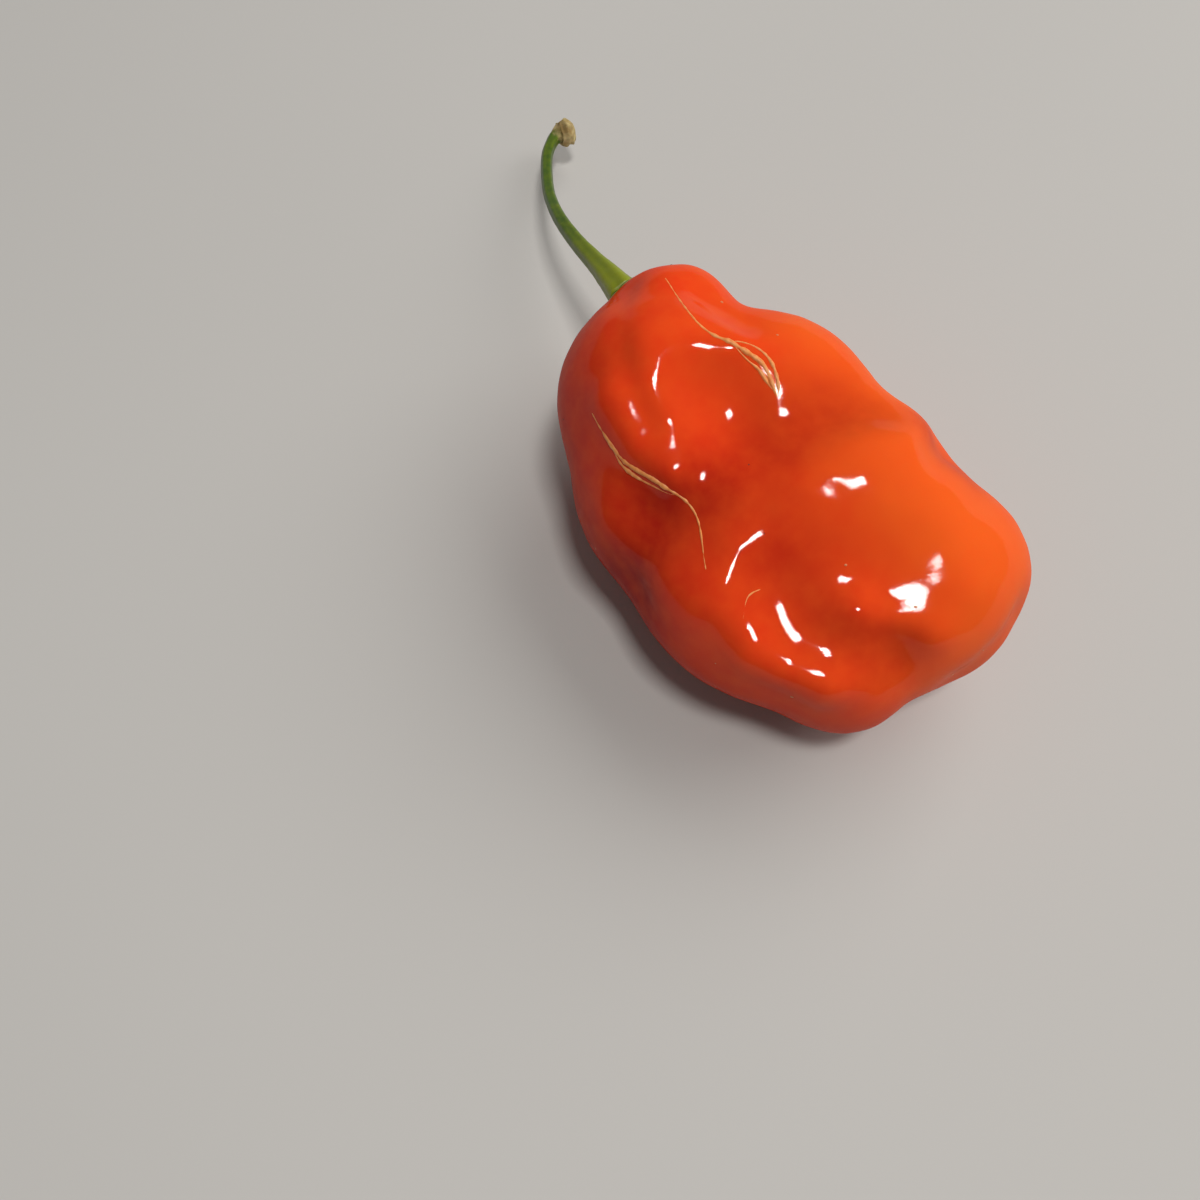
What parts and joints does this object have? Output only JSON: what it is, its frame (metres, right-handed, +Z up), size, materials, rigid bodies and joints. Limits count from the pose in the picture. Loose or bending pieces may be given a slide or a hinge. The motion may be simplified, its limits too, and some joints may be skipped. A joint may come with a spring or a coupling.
{
  "type": "chilli pepper",
  "caption": "Ripe lantern-shaped chilli with creased glossy red-orange skin, small green calyx and a thin curved green stem, lying on its side.",
  "frame": {"origin": "middle of the underside of the whole object's box, on the surface the pod lies on", "axes": "+X along the pod from the stem end to the blossom end, +Z up"},
  "size_m": [0.104, 0.0556, 0.0361],
  "materials": {
    "pod_skin": "taut waxy red-orange skin, glossy, deeper red in the creases",
    "calyx_green": "yellow-green, satin, with a paler rim",
    "stem_green": "green, satin, lengthwise ribs, with a dry tan picked end"
  },
  "bodies": {
    "root": {"pod": "pod_skin", "calyx": "calyx_green", "stem": "stem_green"}
  },
  "joints": []
}
